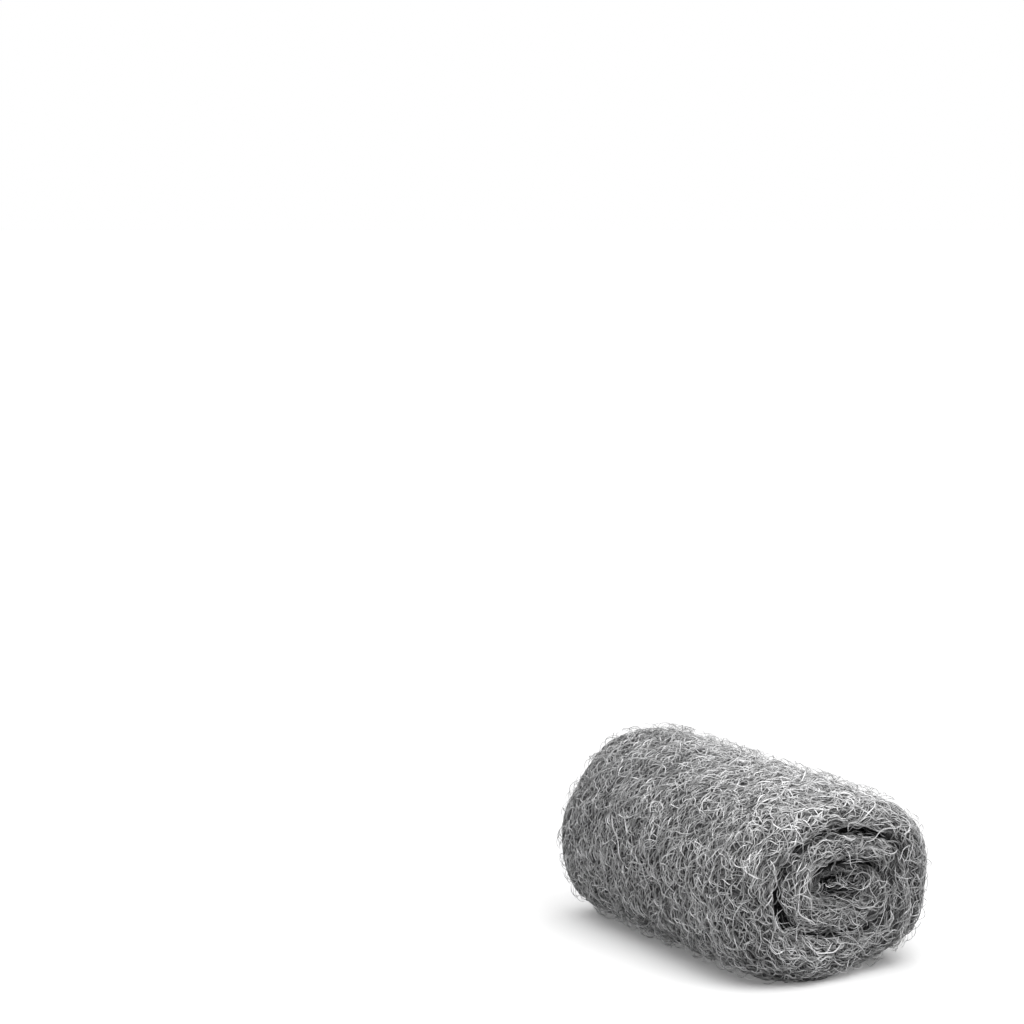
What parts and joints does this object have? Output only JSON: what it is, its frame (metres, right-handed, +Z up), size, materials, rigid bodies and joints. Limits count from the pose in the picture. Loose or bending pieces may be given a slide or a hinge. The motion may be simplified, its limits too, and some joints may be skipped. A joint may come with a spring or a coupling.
{
  "type": "steel wool pad",
  "caption": "Soft scouring and polishing pad: one strip of matted steel fibre wound into an oval roll with rounded spiral ends, lying on its flattened side",
  "frame": {"origin": "on the floor, under the middle of the roll", "axes": "+X along the roll to the end that shows its open spiral, +Y across the roll to the side with the loose end of the strip, +Z up"},
  "size_m": [0.106, 0.069, 0.0568],
  "materials": {
    "steel_wool": "matted fine bright steel fibres, neutral grey, dark in the gaps between the turns"
  },
  "bodies": {
    "root": {"wool_roll": "steel_wool"}
  },
  "joints": []
}
